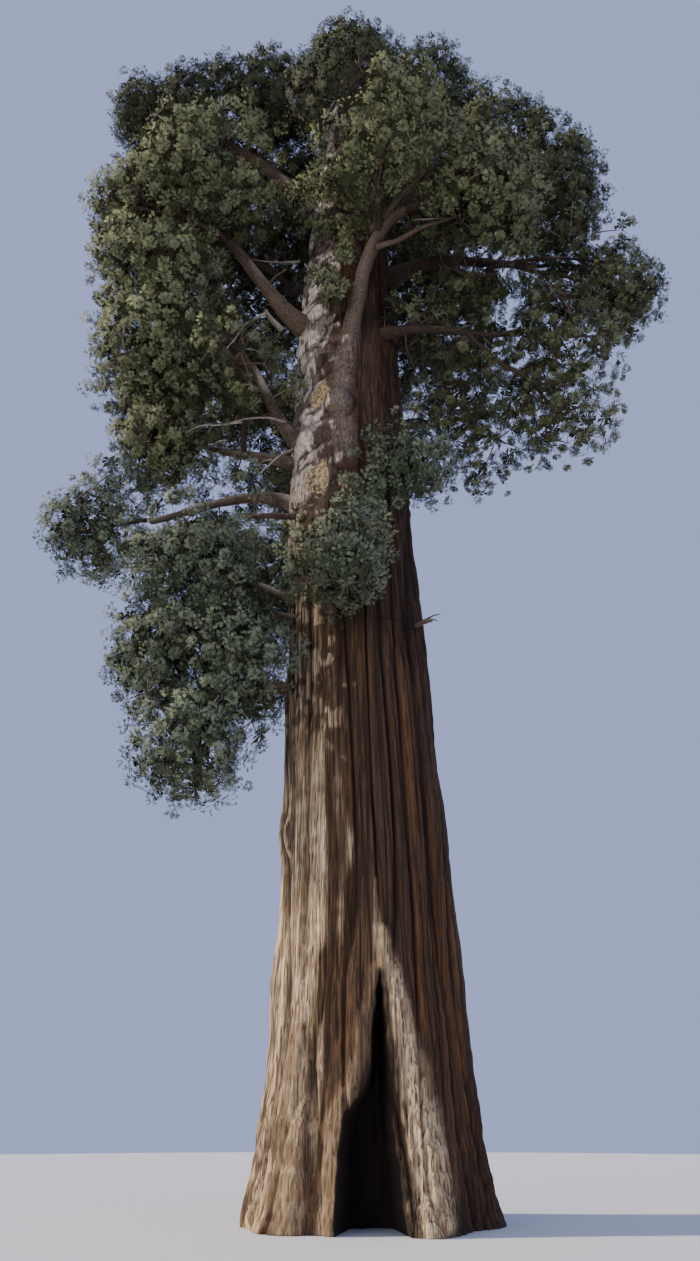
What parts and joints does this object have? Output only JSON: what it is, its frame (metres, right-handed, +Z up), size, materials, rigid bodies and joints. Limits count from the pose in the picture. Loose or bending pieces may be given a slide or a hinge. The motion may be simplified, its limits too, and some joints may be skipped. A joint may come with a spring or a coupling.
{
  "type": "giant sequoia tree",
  "caption": "Old giant sequoia: fluted red-brown trunk with a fire hollow at its foot, upswept boughs and a broad round crown of separate dense masses of needles.",
  "frame": {"origin": "centre of the flat cut at ground level under the trunk", "axes": "+Z up along the trunk, -Y the side with the fire hollow, +X to the right seen from there"},
  "size_m": [18.8175, 14.509, 39.9837],
  "materials": {
    "bark": "deeply furrowed fibrous cinnamon bark, paler and silvery on the weathered side",
    "limb_wood": "rough weathered grey-brown bark",
    "needles_high": "matt olive green scale-like needles",
    "needles_low": "matt grey-green scale-like needles"
  },
  "bodies": {
    "root": {"trunk": "bark", "bough_upper_left": "limb_wood", "bough_shoulder_right": "limb_wood", "bough_right_high": "limb_wood", "bough_right_low": "limb_wood", "bough_inner_right": "limb_wood", "bough_front": "limb_wood", "bough_left_arch": "limb_wood", "bough_left_mid": "limb_wood", "bough_left_inner": "limb_wood", "bough_left_low": "limb_wood", "bough_drape_high": "limb_wood", "bough_drape_low": "limb_wood", "bough_back_left": "limb_wood", "bough_back_right": "limb_wood", "bough_back_mid": "limb_wood", "bough_back_low_left": "limb_wood", "bough_back_low_right": "limb_wood", "stub_left_high": "limb_wood", "stub_left_low": "limb_wood", "foliage_crest": "needles_high", "foliage_crest_right": "needles_high", "foliage_crest_left": "needles_high", "foliage_back_top": "needles_high", "foliage_front_top": "needles_high", "foliage_core_left": "needles_high", "foliage_upper_left": "needles_high", "foliage_far_upper_left": "needles_high", "foliage_back_high_right": "needles_high", "foliage_shoulder_right": "needles_high", "foliage_upper_right": "needles_high", "foliage_far_right": "needles_high", "foliage_mid_right": "needles_high", "foliage_tip_low_right": "needles_high", "foliage_lower_right": "needles_high", "foliage_hang_right": "needles_high", "foliage_inner_right": "needles_high", "foliage_front_high": "needles_high", "foliage_front_side": "needles_high", "foliage_left_arch": "needles_high", "foliage_left_arch_tip": "needles_high", "foliage_left_mid_high": "needles_high", "foliage_left_mid": "needles_high", "foliage_left_inner": "needles_high", "foliage_left_low": "needles_high", "foliage_left_bough_tip": "needles_low", "foliage_drape_top": "needles_low", "foliage_drape_inner": "needles_low", "foliage_drape_low": "needles_low", "foliage_drape_mid": "needles_low", "foliage_trunk_right": "needles_low", "foliage_trunk_front": "needles_low", "foliage_left_high": "needles_high", "foliage_back_left": "needles_high", "foliage_back_right": "needles_high", "foliage_back_low": "needles_high", "foliage_back_mid": "needles_high", "foliage_back_low_left": "needles_high", "foliage_back_drape": "needles_low", "foliage_back_low_right": "needles_high"}
  },
  "joints": []
}
